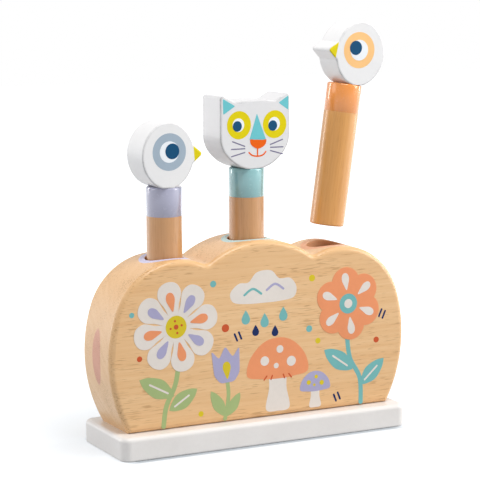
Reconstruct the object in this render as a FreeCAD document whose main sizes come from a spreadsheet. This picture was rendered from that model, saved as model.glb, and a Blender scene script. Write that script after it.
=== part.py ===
import FreeCAD
import Part
import math
import os
import Sketcher
from FreeCAD import Placement, Rotation, Vector

# Pop up animal toy: a lobed wooden block on a white base plate holds three loose pegs,
# each standing on a spring. The origin is the middle of the base plate's underside.
# +X runs along the block to the right, +Y to its back and +Z up. Sizes are in millimetres.

SIZES = [
    # Base plate
    ("base_length", 204.0),
    ("base_width", 64.0),
    ("base_thickness", 15.0),
    ("base_corner_radius", 6.0),
    ("base_top_rounding", 2.8),
    ("base_bottom_rounding", 1.2),
    # Block: two side lobes and a taller centre lobe, on flanks that narrow to a foot
    ("block_thickness", 44.0),
    ("block_edge_rounding", 3.5),
    ("bore_pitch", 58.2),
    ("side_lobe_radius", 45.0),
    ("side_lobe_height", 61.7),
    ("centre_lobe_radius", 63.2),
    ("centre_lobe_height", 51.6),
    ("flank_radius", 94.0),
    ("flank_top_angle", 18.4),
    ("valley_rounding", 6.0),
    ("bore_diameter", 24.8),
    ("bore_mouth_rounding", 0.5),
    ("side_bore_depth", 100.7),
    ("centre_bore_depth", 99.9),
    # Screws that hold the block on the base plate
    ("block_screw_inner_place", 28.5),
    ("block_screw_outer_place", 81.0),
    ("block_screw_diameter", 4.0),
    ("block_screw_head_diameter", 8.0),
    ("block_screw_recess", 0.5),
    ("block_screw_length", 40.0),
    ("screw_hole_play", 0.1),
    ("screw_point", 3.0),
    # Spring, the seat below it and the plunger on top of it
    ("wire_diameter", 1.4),
    ("spring_diameter", 18.4),
    ("spring_length", 44.8),
    ("spring_pitch", 4.8),
    ("spring_play", 0.05),
    ("flange_play", 0.4),
    ("spigot_length", 5.0),
    ("spigot_play", 0.1),
    ("spigot_chamfer", 0.8),
    ("seat_thickness", 3.0),
    ("plunger_thickness", 4.0),
    ("seat_screw_diameter", 3.2),
    ("seat_screw_head_diameter", 6.6),
    ("seat_screw_head_height", 2.2),
    ("seat_screw_length", 17.0),
    # Pegs: a dowel with a flat head on its top end
    ("dowel_diameter", 22.6),
    ("dowel_length", 93.0),
    ("dowel_rounding", 1.2),
    ("head_thickness", 22.0),
    ("head_rounding", 1.0),
    ("chin_flat_depth", 0.6),
    ("head_pin_diameter", 6.0),
    ("head_pin_length", 26.0),
    ("head_pin_play", 0.1),
    # Bird head
    ("bird_width", 36.5),
    ("bird_height", 40.8),
    ("bird_crown_radius", 16.2),
    ("bird_offset", 2.3),
    ("beak_reach", 22.4),
    ("beak_height", 20.2),
    ("beak_base", 12.4),
    ("beak_root_inset", 1.3),
    ("beak_rounding", 1.8),
    ("beak_root_rounding", 1.5),
    # Cat head
    ("cat_width", 52.0),
    ("cat_cheek_height", 21.0),
    ("cat_cheek_radius", 17.0),
    ("cat_brow_height", 42.6),
    ("cat_brow_width", 30.0),
    ("cat_brow_radius", 150.0),
    ("cat_ear_height", 48.2),
    ("cat_ear_rounding", 2.2),
    ("cat_brow_rounding", 3.5),
    # How the loose pegs are turned, and how the right one stands after it has popped out
    ("left_turn", 3.0),
    ("centre_turn", 5.0),
    ("right_turn", 2.0),
    ("popped_lean", 8.15),
    ("throw_radius", 426.0),
    ("throw_centre_drop", 25.0),
]

doc = FreeCAD.newDocument("pop_up_animal_toy")
sheet = doc.addObject("Spreadsheet::Sheet", "Sizes")
for row, (alias, amount) in enumerate(SIZES, start=1):
    sheet.set(f"A{row}", alias)
    sheet.set(f"B{row}", str(amount))
    sheet.setAlias(f"B{row}", alias)
doc.recompute()

ORIGIN_POINT = (-1, 1)
HORIZONTAL_AXIS = -1
VERTICAL_AXIS = -2
START, END, CENTRE = 1, 2, 3

parts = []


def number(expression):
    """The value of an expression over the sheet's sizes."""
    return float(sheet.evalExpression(expression))


def new_body(label):
    """A sub-part, whose label names its file."""
    body = doc.addObject("PartDesign::Body", label)
    body.Label = label
    parts.append(body)
    return body


def new_sketch(body, name, role, height=None):
    """A sketch on one of the body's own origin planes, raised by an expression."""
    sketch = body.newObject("Sketcher::SketchObject", name)
    plane = next(item for item in body.Origin.OriginFeatures if item.Role == role)
    sketch.AttachmentSupport = (plane, [""])
    sketch.MapMode = "FlatFace"
    if height:
        sketch.setExpression("AttachmentOffset.Base.z", height)
    return sketch


def bind(sketch, constraint, expression):
    """Adds a constraint whose value follows an expression."""
    index = sketch.addConstraint(constraint)
    sketch.setExpression(f"Constraints[{index}]", expression)


def pin(sketch, item, point, across, up):
    """Ties a point of a sketch to a place given by two expressions."""
    for kind, axis, expression in (("DistanceX", VERTICAL_AXIS, across), ("DistanceY", HORIZONTAL_AXIS, up)):
        if expression == "0":
            sketch.addConstraint(Sketcher.Constraint("PointOnObject", item, point, axis))
        else:
            distance = Sketcher.Constraint(kind, *ORIGIN_POINT, item, point, number(expression))
            bind(sketch, distance, expression)


def polygon(sketch, corners):
    """A closed outline of straight lines whose corners are pairs of expressions."""
    points = [Vector(number(across), number(up), 0) for across, up in corners]
    items = [sketch.addGeometry(Part.LineSegment(*ends)) for ends in zip(points, points[1:] + points[:1])]
    for item, following, corner in zip(items, items[1:] + items[:1], corners):
        sketch.addConstraint(Sketcher.Constraint("Coincident", item, END, following, START))
        pin(sketch, item, START, *corner)


def circle(sketch, across, up, diameter):
    """A circle in a sketch, from three expressions."""
    centre = Vector(number(across), number(up), 0)
    item = sketch.addGeometry(Part.Circle(centre, Vector(0, 0, 1), number(diameter) / 2))
    pin(sketch, item, CENTRE, across, up)
    bind(sketch, Sketcher.Constraint("Diameter", item, number(diameter)), diameter)


def arc(sketch, centre, radius, start, end):
    """Adds an arc that turns anticlockwise from one angle to another, and returns its number."""
    return sketch.addGeometry(Part.ArcOfCircle(Part.Circle(centre, Vector(0, 0, 1), radius), start, end))


def pad(body, sketch, length, both_ways=False):
    """Raises a sketch into a solid, up from its plane or evenly to both sides of it."""
    feature = body.newObject("PartDesign::Pad", sketch.Name + "_pad")
    feature.Profile = sketch
    feature.setExpression("Length", length)
    if both_ways:
        feature.SideType = "Symmetric"
    return feature


def pocket(body, sketch, length=None, upward=False):
    """Cuts a sketch down or up from its plane, right through where no length is given."""
    doc.recompute()
    before = body.Shape.Volume
    feature = body.newObject("PartDesign::Pocket", sketch.Name + "_pocket")
    feature.Profile = sketch
    feature.Reversed = upward
    if length:
        feature.setExpression("Length", length)
    else:
        feature.Type = "ThroughAll"
    doc.recompute()
    if body.Shape.Volume >= before:
        raise RuntimeError(f"{sketch.Name} cuts nothing")
    return feature


def edge_names(body, wanted):
    """The names of the body's edges that pass a test."""
    doc.recompute()
    return [f"Edge{place}" for place, edge in enumerate(body.Shape.Edges, start=1) if wanted(edge)]


def round_edges(body, name, radius, wanted):
    """Rounds the edges of a body that pass a test."""
    names = edge_names(body, wanted)
    if not names:
        raise RuntimeError(f"{name} finds no edge")
    rounded = body.Tip
    feature = body.newObject("PartDesign::Fillet", name)
    feature.Base = (rounded, names)
    feature.setExpression("Radius", radius)
    return feature


def turned(label, corners):
    """A turned piece: an outline of radius and height pairs, revolved about the Z axis."""
    body = new_body(label)
    sketch = new_sketch(body, label + "_profile", "XZ_Plane")
    polygon(sketch, corners)
    feature = body.newObject("PartDesign::Revolution", label + "_turning")
    feature.Profile = sketch
    feature.ReferenceAxis = (sketch, ["V_Axis"])
    feature.Angle = 360
    return body


def is_flat_at(edge, axis, level):
    """Whether a whole edge lies at one level along an axis (0, 1 or 2)."""
    box = edge.BoundBox
    low = (box.XMin, box.YMin, box.ZMin)[axis]
    high = (box.XMax, box.YMax, box.ZMax)[axis]
    return abs(low - level) < 0.01 and abs(high - level) < 0.01


def runs_along(edge, axis):
    """Whether an edge is straight and lies along an axis (0, 1 or 2)."""
    box = edge.BoundBox
    spans = [box.XLength, box.YLength, box.ZLength]
    length = spans.pop(axis)
    return length > 1 and max(spans) < 0.01


# Places along X of the three bores, and the heights of their floors and mouths above the table
BORES = {
    "left": ("-Sizes.bore_pitch", "side"),
    "centre": ("0", "centre"),
    "right": ("Sizes.bore_pitch", "side"),
}
CROWN = {
    "side": "(Sizes.side_lobe_height + Sizes.side_lobe_radius)",
    "centre": "(Sizes.centre_lobe_height + Sizes.centre_lobe_radius)",
}
FLOOR = {lobe: f"({crown} - Sizes.{lobe}_bore_depth)" for lobe, crown in CROWN.items()}
SCREW_PLACES = [
    "-Sizes.block_screw_outer_place",
    "-Sizes.block_screw_inner_place",
    "Sizes.block_screw_inner_place",
    "Sizes.block_screw_outer_place",
]
BLOCK_SCREW_HOLE = "(Sizes.block_screw_diameter + Sizes.screw_hole_play)"
SEAT_SCREW_HOLE = "(Sizes.seat_screw_diameter + Sizes.screw_hole_play)"
FLANGE_RADIUS = "(Sizes.bore_diameter / 2 - Sizes.flange_play)"
SPIGOT_RADIUS = "(Sizes.spring_diameter / 2 - Sizes.wire_diameter - Sizes.spigot_play)"
SEAT_HEIGHT = "(Sizes.seat_thickness + Sizes.spigot_length)"
PEG_REST = "(Sizes.seat_thickness + Sizes.spring_length + Sizes.plunger_thickness)"
SEAT_SCREW_DEPTH = f"(Sizes.seat_screw_length - {SEAT_HEIGHT} + Sizes.screw_hole_play)"


def base_plate():
    """The white plate, with countersunk holes for the block's screws and pilot holes for the seats'."""
    body = new_body("base_plate")
    sketch = new_sketch(body, "base_outline", "XY_Plane")
    half_length = "Sizes.base_length / 2"
    half_width = "Sizes.base_width / 2"
    sides = (("-", "-"), ("", "-"), ("", ""), ("-", ""))
    polygon(sketch, [(across + half_length, back + half_width) for across, back in sides])
    pad(body, sketch, "Sizes.base_thickness")
    thickness = number("Sizes.base_thickness")
    round_edges(
        body, "base_corners", "Sizes.base_corner_radius", lambda edge: runs_along(edge, 2)
    )
    round_edges(
        body, "base_top_edge", "Sizes.base_top_rounding", lambda edge: is_flat_at(edge, 2, thickness)
    )
    round_edges(body, "base_bottom_edge", "Sizes.base_bottom_rounding", lambda edge: is_flat_at(edge, 2, 0))
    holes = new_sketch(body, "block_screw_holes", "XY_Plane")
    for across in SCREW_PLACES:
        circle(holes, across, "0", BLOCK_SCREW_HOLE)
    pocket(body, holes, upward=True)
    hole_radius = number(BLOCK_SCREW_HOLE) / 2
    names = edge_names(
        body,
        lambda edge: is_flat_at(edge, 2, 0)
        and isinstance(edge.Curve, Part.Circle)
        and abs(edge.Curve.Radius - hole_radius) < 0.01,
    )
    drilled = body.Tip
    sinks = body.newObject("PartDesign::Chamfer", "block_screw_countersinks")
    sinks.Base = (drilled, names)
    sinks.setExpression(
        "Size",
        "Sizes.block_screw_recess + (Sizes.block_screw_head_diameter - Sizes.block_screw_diameter) / 2",
    )
    pilots = new_sketch(body, "seat_screw_pilots", "XY_Plane", "Sizes.base_thickness")
    for across, lobe in BORES.values():
        if lobe == "side":
            circle(pilots, across, "0", SEAT_SCREW_HOLE)
    pocket(body, pilots, f"{SEAT_SCREW_DEPTH} - {FLOOR['side']}")


def block_outline(body):
    """The block's front outline: foot, flank arcs, side lobes and centre lobe, symmetrical about Z."""
    sketch = new_sketch(body, "block_outline", "XZ_Plane")
    pitch = number("Sizes.bore_pitch")
    side_radius = number("Sizes.side_lobe_radius")
    side_height = number("Sizes.side_lobe_height")
    crown_radius = number("Sizes.centre_lobe_radius")
    crown_height = number("Sizes.centre_lobe_height")
    flank_radius = number("Sizes.flank_radius")
    flank_top = math.radians(number("Sizes.flank_top_angle"))
    flank_centre = pitch + (side_radius - flank_radius) * math.cos(flank_top)
    flank_level = "Sizes.side_lobe_height"
    flank_level += " + (Sizes.side_lobe_radius - Sizes.flank_radius) * sin(Sizes.flank_top_angle * 1 deg)"
    flank_height = number(flank_level)
    foot_angle = math.asin(flank_height / flank_radius)
    foot = flank_centre + flank_radius * math.cos(foot_angle)
    # The lobes meet where two circles cross, found from the line that joins their centres
    gap = math.hypot(pitch, side_height - crown_height)
    slope = math.atan2(side_height - crown_height, pitch)
    crown_turn = math.acos((gap**2 + crown_radius**2 - side_radius**2) / (2 * gap * crown_radius))
    side_turn = math.acos((gap**2 + side_radius**2 - crown_radius**2) / (2 * gap * side_radius))
    valley_on_crown = slope + crown_turn
    valley_on_side = math.pi + slope - side_turn
    base = sketch.addGeometry(Part.LineSegment(Vector(-foot, 0, 0), Vector(foot, 0, 0)))
    right_flank = arc(sketch, Vector(flank_centre, flank_height, 0), flank_radius, -foot_angle, flank_top)
    right_lobe = arc(sketch, Vector(pitch, side_height, 0), side_radius, flank_top, valley_on_side)
    crown = arc(
        sketch, Vector(0, crown_height, 0), crown_radius, valley_on_crown, math.pi - valley_on_crown
    )
    left_end = math.pi - flank_top
    left_lobe = arc(sketch, Vector(-pitch, side_height, 0), side_radius, math.pi - valley_on_side, left_end)
    left_flank = arc(
        sketch, Vector(-flank_centre, flank_height, 0), flank_radius, left_end, math.pi + foot_angle
    )
    joins = [(base, right_flank), (right_lobe, crown), (crown, left_lobe), (left_flank, base)]
    for first, second in joins:
        sketch.addConstraint(Sketcher.Constraint("Coincident", first, END, second, START))
    for first, second in ((right_flank, right_lobe), (left_lobe, left_flank)):
        sketch.addConstraint(Sketcher.Constraint("Tangent", first, END, second, START))
    for end in (START, END):
        sketch.addConstraint(Sketcher.Constraint("PointOnObject", base, end, HORIZONTAL_AXIS))
    for item in (right_flank, left_flank):
        bind(sketch, Sketcher.Constraint("Radius", item, flank_radius), "Sizes.flank_radius")
        height = Sketcher.Constraint("DistanceY", *ORIGIN_POINT, item, CENTRE, flank_height)
        bind(sketch, height, flank_level)
    for item, across in ((right_lobe, "Sizes.bore_pitch"), (left_lobe, "-Sizes.bore_pitch")):
        bind(sketch, Sketcher.Constraint("Radius", item, side_radius), "Sizes.side_lobe_radius")
        pin(sketch, item, CENTRE, across, "Sizes.side_lobe_height")
    bind(sketch, Sketcher.Constraint("Radius", crown, crown_radius), "Sizes.centre_lobe_radius")
    pin(sketch, crown, CENTRE, "0", "Sizes.centre_lobe_height")
    return sketch


def block():
    """The lobed block: its outline, its rounded front and back edges, three bores and screw holes."""
    body = new_body("block")
    body.setExpression("Placement.Base.z", "Sizes.base_thickness")
    pad(body, block_outline(body), "Sizes.block_thickness", both_ways=True)
    half = number("Sizes.block_thickness") / 2
    side_height = number("Sizes.side_lobe_height")

    def in_valley(edge):
        between = abs(edge.BoundBox.XMin) < number("Sizes.bore_pitch")
        return runs_along(edge, 1) and between and edge.BoundBox.ZMin > side_height

    def on_front_or_back(edge):
        flat = is_flat_at(edge, 1, -half) or is_flat_at(edge, 1, half)
        return flat and not is_flat_at(edge, 2, 0)

    round_edges(body, "block_valleys", "Sizes.valley_rounding", in_valley)
    round_edges(body, "block_edges", "Sizes.block_edge_rounding", on_front_or_back)
    for lobe in ("side", "centre"):
        bores = new_sketch(body, lobe + "_bores", "XY_Plane", FLOOR[lobe])
        pilots = new_sketch(body, lobe + "_pilots", "XY_Plane", FLOOR[lobe])
        for across, of_lobe in BORES.values():
            if of_lobe == lobe:
                circle(bores, across, "0", "Sizes.bore_diameter")
                circle(pilots, across, "0", SEAT_SCREW_HOLE)
        pocket(body, bores, upward=True)
        pocket(body, pilots, f"min({SEAT_SCREW_DEPTH}; {FLOOR[lobe]})")
    pitch = number("Sizes.bore_pitch")
    bore_radius = number("Sizes.bore_diameter") / 2

    def on_mouth(edge):
        box = edge.BoundBox
        middle = Vector((box.XMin + box.XMax) / 2, (box.YMin + box.YMax) / 2, 0)
        near = min(abs(middle.x), abs(abs(middle.x) - pitch)) < bore_radius
        round_it = abs(middle.y) < bore_radius and box.YLength > bore_radius * 0.9
        return box.ZMin > side_height + 1 and near and round_it and box.YLength < 2.1 * bore_radius

    round_edges(body, "bore_mouths", "Sizes.bore_mouth_rounding", on_mouth)
    holes = new_sketch(body, "block_screw_bores", "XY_Plane")
    for across in SCREW_PLACES:
        circle(holes, across, "0", BLOCK_SCREW_HOLE)
    depth = "Sizes.block_screw_length + Sizes.block_screw_recess - Sizes.base_thickness"
    pocket(body, holes, f"{depth} + Sizes.screw_hole_play", upward=True)


def block_screws():
    """The four countersunk screws that come up through the base plate into the block."""
    head = "Sizes.block_screw_head_diameter / 2"
    shank = "Sizes.block_screw_diameter / 2"
    low = "Sizes.block_screw_recess"
    top = f"{low} + Sizes.block_screw_length"
    screw = turned(
        "block_screws",
        [
            ("0", low),
            (head, low),
            (shank, f"{low} + ({head} - {shank})"),
            (shank, f"{top} - Sizes.screw_point"),
            ("0", top),
        ],
    )
    return screw


def repeat_screw(body):
    """Sets the screws in line: the turned one is copied to each of the four places along X."""
    doc.recompute()
    single = body.Shape.copy()
    parts.remove(body)
    group = doc.addObject("Part::Feature", "block_screw_set")
    copies = [single.translated(Vector(number(across), 0, 0)) for across in SCREW_PLACES]
    group.Shape = Part.makeCompound(copies)
    body.Label = "single_block_screw"
    group.Label = "block_screws"
    parts.append(group)


def spring(name):
    """A compression spring of round wire, swept along a helix, with its lower end at z = 0."""
    helix = doc.addObject("Part::Helix", f"spring_{name}_line")
    wire_radius = "Sizes.wire_diameter / 2"
    mean_radius = f"Sizes.spring_diameter / 2 - {wire_radius}"
    helix.setExpression("Radius", mean_radius)
    helix.setExpression("Pitch", "Sizes.spring_pitch")
    helix.setExpression("Height", "Sizes.spring_length - Sizes.wire_diameter - 2 * Sizes.spring_play")
    section = doc.addObject("Part::Circle", f"spring_{name}_section")
    section.setExpression("Radius", wire_radius)
    section.Placement = Placement(Vector(number(mean_radius), 0, 0), Rotation(Vector(1, 0, 0), 90))
    sweep = doc.addObject("Part::Sweep", f"spring_{name}")
    sweep.Sections = [section]
    sweep.Spine = helix
    sweep.Solid = True
    sweep.Frenet = True
    sweep.Label = f"spring_{name}"
    parts.append(sweep)
    return sweep


def spring_set(name):
    """One bore's seat, seat screw, spring and plunger, each in its place."""
    across, lobe = BORES[name]
    floor = f"Sizes.base_thickness + {FLOOR[lobe]}"
    hole = f"{SEAT_SCREW_HOLE} / 2"
    tip = f"{SPIGOT_RADIUS} - Sizes.spigot_chamfer"
    seat = turned(
        f"spring_seat_{name}",
        [
            (hole, "0"),
            (FLANGE_RADIUS, "0"),
            (FLANGE_RADIUS, "Sizes.seat_thickness"),
            (SPIGOT_RADIUS, "Sizes.seat_thickness"),
            (SPIGOT_RADIUS, f"{SEAT_HEIGHT} - Sizes.spigot_chamfer"),
            (tip, SEAT_HEIGHT),
            (hole, SEAT_HEIGHT),
        ],
    )
    shank = "Sizes.seat_screw_diameter / 2"
    head = "Sizes.seat_screw_head_diameter / 2"
    screw = turned(
        f"seat_screw_{name}",
        [
            ("0", "-Sizes.seat_screw_length"),
            (shank, "Sizes.screw_point - Sizes.seat_screw_length"),
            (shank, "0"),
            (head, "0"),
            (head, "Sizes.seat_screw_head_height / 2"),
            (shank, "Sizes.seat_screw_head_height"),
            ("0", "Sizes.seat_screw_head_height"),
        ],
    )
    plunger = turned(
        f"plunger_{name}",
        [
            ("0", "-Sizes.spigot_length"),
            (tip, "-Sizes.spigot_length"),
            (SPIGOT_RADIUS, "Sizes.spigot_chamfer - Sizes.spigot_length"),
            (SPIGOT_RADIUS, "0"),
            (FLANGE_RADIUS, "0"),
            (FLANGE_RADIUS, "Sizes.plunger_thickness"),
            ("0", "Sizes.plunger_thickness"),
        ],
    )
    coil = spring(name)
    heights = {
        seat: floor,
        screw: f"{floor} + {SEAT_HEIGHT}",
        coil: f"{floor} + Sizes.seat_thickness + Sizes.wire_diameter / 2 + Sizes.spring_play",
        plunger: f"{floor} + Sizes.seat_thickness + Sizes.spring_length",
    }
    for item, height in heights.items():
        if across != "0":
            item.setExpression("Placement.Base.x", across)
        item.setExpression("Placement.Base.z", height)


def dowel(name):
    """A peg's round stem, with rounded ends and a hole in its top for the head's pin."""
    radius = "Sizes.dowel_diameter / 2"
    body = turned(
        f"dowel_{name}",
        [("0", "0"), (radius, "0"), (radius, "Sizes.dowel_length"), ("0", "Sizes.dowel_length")],
    )
    length = number("Sizes.dowel_length")
    round_edges(
        body,
        f"dowel_{name}_ends",
        "Sizes.dowel_rounding",
        lambda edge: is_flat_at(edge, 2, 0) or is_flat_at(edge, 2, length),
    )
    hole = new_sketch(body, f"dowel_{name}_pin_hole", "XY_Plane", "Sizes.dowel_length")
    circle(hole, "0", "0", "Sizes.head_pin_diameter + Sizes.head_pin_play")
    pocket(body, hole, "Sizes.head_pin_length / 2 + Sizes.head_pin_play")
    return body


def head_pin(name):
    """The round pin, half in the dowel and half in the head, that holds the head on."""
    radius = "Sizes.head_pin_diameter / 2"
    half = "Sizes.head_pin_length / 2"
    return turned(f"head_pin_{name}", [("0", f"-{half}"), (radius, f"-{half}"), (radius, half), ("0", half)])


def round_rims(body, name):
    """Rounds the rims of a head's front and back."""
    half = number("Sizes.head_thickness") / 2

    def on_rim(edge):
        flat = is_flat_at(edge, 1, -half) or is_flat_at(edge, 1, half)
        return flat and not is_flat_at(edge, 2, 0)

    round_edges(body, name + "_rims", "Sizes.head_rounding", on_rim)


def flatten_chin(body, name):
    """Cuts the chin flat where it stands on the dowel."""
    below = new_sketch(body, name + "_chin_flat", "XY_Plane")
    wide = "Sizes.cat_width"
    polygon(below, [(f"-{wide}", f"-{wide}"), (wide, f"-{wide}"), (wide, wide), (f"-{wide}", wide)])
    pocket(body, below)


def drill_chin(body, name):
    """Drills the hole for the pin up into the chin."""
    hole = new_sketch(body, name + "_pin_hole", "XY_Plane")
    circle(hole, "0", "0", "Sizes.head_pin_diameter + Sizes.head_pin_play")
    pocket(body, hole, "Sizes.head_pin_length / 2 + Sizes.head_pin_play", upward=True)


def bird_oval(body, label, away):
    """The upright oval of a bird's head: a crown and a chin arc, joined smoothly by two flatter cheeks."""
    sketch = new_sketch(body, label + "_oval", "XZ_Plane")
    across = f"{away}Sizes.bird_offset"
    crown_radius = "Sizes.bird_crown_radius"
    half_width = "(Sizes.bird_width / 2)"
    half_height = "((Sizes.bird_height + Sizes.chin_flat_depth) / 2)"
    middle = f"{half_height} - Sizes.chin_flat_depth"
    rise = f"({half_height} - {crown_radius})"
    # A cheek's circle touches the crown's and the chin's from outside and keeps the head's width
    squares = f"({half_width} ^ 2 + {rise} ^ 2 - {crown_radius} ^ 2)"
    cheek_radius = f"{squares} / (2 * ({half_width} - {crown_radius}))"
    small = number(crown_radius)
    large = number(cheek_radius)
    centre = Vector(number(across), number(middle), 0)
    up = Vector(0, number(rise), 0)
    inward = Vector(large - number(half_width), 0, 0)
    turn = math.atan2(up.y, inward.x)
    crown = arc(sketch, centre + up, small, turn, math.pi - turn)
    left = arc(sketch, centre + inward, large, math.pi - turn, math.pi + turn)
    chin = arc(sketch, centre - up, small, math.pi + turn, 2 * math.pi - turn)
    right = arc(sketch, centre - inward, large, -turn, turn)
    ring = (crown, left, chin, right)
    for first, second in zip(ring, ring[1:] + ring[:1]):
        sketch.addConstraint(Sketcher.Constraint("Tangent", first, END, second, START))
    pin(sketch, crown, CENTRE, across, f"{middle} + {rise}")
    pin(sketch, chin, CENTRE, across, f"{middle} - {rise}")
    for item in (crown, chin):
        bind(sketch, Sketcher.Constraint("Radius", item, small), crown_radius)
    for item in (left, right):
        bind(sketch, Sketcher.Constraint("Radius", item, large), cheek_radius)
    return sketch


def bird_head(label, beak_side):
    """A bird's head: an upright oval with a wedge-shaped beak on one side ('' for +X, '-' for -X)."""
    body = new_body(label)
    away = "-" if beak_side == "" else ""
    pad(body, bird_oval(body, label, away), "Sizes.head_thickness", both_ways=True)
    beak = new_sketch(body, label + "_beak", "XZ_Plane")
    hidden = f"{away}Sizes.bird_offset"
    rim = f"{beak_side}(Sizes.bird_width / 2 - Sizes.bird_offset - Sizes.beak_root_inset)"
    beak_height = "Sizes.beak_height"
    low = f"{beak_height} - Sizes.beak_base / 2"
    high = f"{beak_height} + Sizes.beak_base / 2"
    reach = f"{beak_side}Sizes.beak_reach"
    polygon(beak, [(hidden, low), (rim, low), (reach, beak_height), (rim, high), (hidden, high)])
    pad(body, beak, "Sizes.head_thickness", both_ways=True)
    tip = number(reach)
    round_edges(
        body,
        label + "_beak_tip",
        "Sizes.beak_rounding",
        lambda edge: runs_along(edge, 1) and is_flat_at(edge, 0, tip),
    )
    beak_half = number("Sizes.beak_base / 2")
    middle_height = number(beak_height)
    rim_place = abs(number(rim))
    near = number("Sizes.beak_root_inset")

    def beside_beak(edge):
        box = edge.BoundBox
        inside = rim_place - beak_half < abs(box.XMin) < rim_place + near
        return runs_along(edge, 1) and inside and abs(box.ZMin - middle_height) < beak_half + near

    round_edges(body, label + "_beak_roots", "Sizes.beak_root_rounding", beside_beak)
    flatten_chin(body, label)
    round_rims(body, label)
    drill_chin(body, label)
    return body


def cat_head():
    """A cat's head: straight sides, rounded cheeks and chin, and two ears on a slightly domed brow."""
    body = new_body("cat_head")
    sketch = new_sketch(body, "cat_outline", "XZ_Plane")
    half = number("Sizes.cat_width") / 2
    cheek = number("Sizes.cat_cheek_radius")
    cheek_height = number("Sizes.cat_cheek_height")
    brow_half = number("Sizes.cat_brow_width") / 2
    brow_height = number("Sizes.cat_brow_height")
    brow_radius = number("Sizes.cat_brow_radius")
    ear = number("Sizes.cat_ear_height")
    chin = -number("Sizes.chin_flat_depth")
    # The chin's circle touches both cheeks' circles from outside and passes through its lowest point
    inset = half - cheek
    rise = cheek_height - chin
    chin_radius = (inset**2 + rise**2 - cheek**2) / (2 * (rise - cheek))
    chin_centre = chin + chin_radius
    join = math.atan2(cheek_height - chin_centre, inset)
    brow_turn = math.asin(brow_half / brow_radius)
    brow_centre = Vector(0, brow_height - brow_radius * math.cos(brow_turn), 0)
    right = sketch.addGeometry(Part.LineSegment(Vector(half, cheek_height, 0), Vector(half, ear, 0)))
    right_ear = sketch.addGeometry(Part.LineSegment(Vector(half, ear, 0), Vector(brow_half, brow_height, 0)))
    brow = arc(sketch, brow_centre, brow_radius, math.pi / 2 - brow_turn, math.pi / 2 + brow_turn)
    left_ear = sketch.addGeometry(Part.LineSegment(Vector(-brow_half, brow_height, 0), Vector(-half, ear, 0)))
    left = sketch.addGeometry(Part.LineSegment(Vector(-half, ear, 0), Vector(-half, cheek_height, 0)))
    left_cheek = arc(sketch, Vector(-inset, cheek_height, 0), cheek, math.pi, math.pi - join)
    chin_arc = arc(sketch, Vector(0, chin_centre, 0), chin_radius, math.pi - join, 2 * math.pi + join)
    right_cheek = arc(sketch, Vector(inset, cheek_height, 0), cheek, 2 * math.pi + join, 2 * math.pi)
    for first, second in ((right, right_ear), (right_ear, brow), (brow, left_ear), (left_ear, left)):
        sketch.addConstraint(Sketcher.Constraint("Coincident", first, END, second, START))
    rounded = (left, left_cheek, chin_arc, right_cheek, right)
    for first, second in zip(rounded, rounded[1:]):
        sketch.addConstraint(Sketcher.Constraint("Tangent", first, END, second, START))
    half_width = "Sizes.cat_width / 2"
    brow_edge = "Sizes.cat_brow_width / 2"
    pin(sketch, right, START, half_width, "Sizes.cat_cheek_height")
    pin(sketch, right_ear, START, half_width, "Sizes.cat_ear_height")
    pin(sketch, brow, START, brow_edge, "Sizes.cat_brow_height")
    pin(sketch, left_ear, START, f"-{brow_edge}", "Sizes.cat_brow_height")
    pin(sketch, left, START, f"-{half_width}", "Sizes.cat_ear_height")
    pin(sketch, left, END, f"-{half_width}", "Sizes.cat_cheek_height")
    bind(sketch, Sketcher.Constraint("Radius", brow, brow_radius), "Sizes.cat_brow_radius")
    for item in (left_cheek, right_cheek):
        bind(sketch, Sketcher.Constraint("Radius", item, cheek), "Sizes.cat_cheek_radius")
    lowest = sketch.addGeometry(Part.Point(Vector(0, chin, 0)), True)
    pin(sketch, lowest, START, "0", "-Sizes.chin_flat_depth")
    sketch.addConstraint(Sketcher.Constraint("PointOnObject", lowest, START, chin_arc))
    pad(body, sketch, "Sizes.head_thickness", both_ways=True)

    def across_at(level):
        return lambda edge: runs_along(edge, 1) and is_flat_at(edge, 2, level)

    round_edges(body, "cat_ears", "Sizes.cat_ear_rounding", across_at(ear))
    round_edges(body, "cat_ear_roots", "Sizes.cat_brow_rounding", across_at(brow_height))
    round_rims(body, "cat")
    flatten_chin(body, "cat")
    drill_chin(body, "cat")
    return body


def seated(name, turn):
    """Where a peg stands upright on its plunger, turned about its own axis."""
    across, lobe = BORES[name]
    floor = number(f"Sizes.base_thickness + {FLOOR[lobe]} + {PEG_REST}")
    return Placement(Vector(number(across), 0, floor), Rotation(Vector(0, 0, 1), number(turn)))


def popped(name, turn):
    """Where the peg is after it has popped out: swung up and over along a long shallow arc."""
    across, lobe = BORES[name]
    mouth = number(f"Sizes.base_thickness + {CROWN[lobe]}")
    centre_across = number(f"{across} + Sizes.throw_radius")
    centre = Vector(centre_across, 0, mouth - number("Sizes.throw_centre_drop"))
    swing = Placement(Vector(0, 0, 0), Rotation(Vector(0, 1, 0), number("Sizes.popped_lean")), centre)
    return swing.multiply(seated(name, turn))


def peg(name, head, where):
    """Puts a peg's dowel, pin and head together at one place."""
    stem = dowel(name)
    tenon = head_pin(name)
    top = Placement(Vector(0, 0, number("Sizes.dowel_length")), Rotation())
    stem.Placement = where
    tenon.Placement = where.multiply(top)
    head.Placement = where.multiply(top)


def write_parts():
    """Checks every object and writes each sub-part to a file of its own."""
    doc.recompute()
    for item in doc.Objects:
        if "Invalid" in item.State or "Error" in item.State:
            raise RuntimeError(f"{item.Label} failed: {item.State}")
    for item in parts:
        if item.Shape.isNull() or not item.Shape.isValid():
            raise RuntimeError(f"{item.Label} has no valid shape")
    os.makedirs("parts", exist_ok=True)
    for item in parts:
        item.Shape.exportStep(f"parts/{item.Label}.step")
        print(f"{item.Label}: {item.Shape.Volume:.1f} mm3, {len(item.Shape.Solids)} solid(s)")


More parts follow.
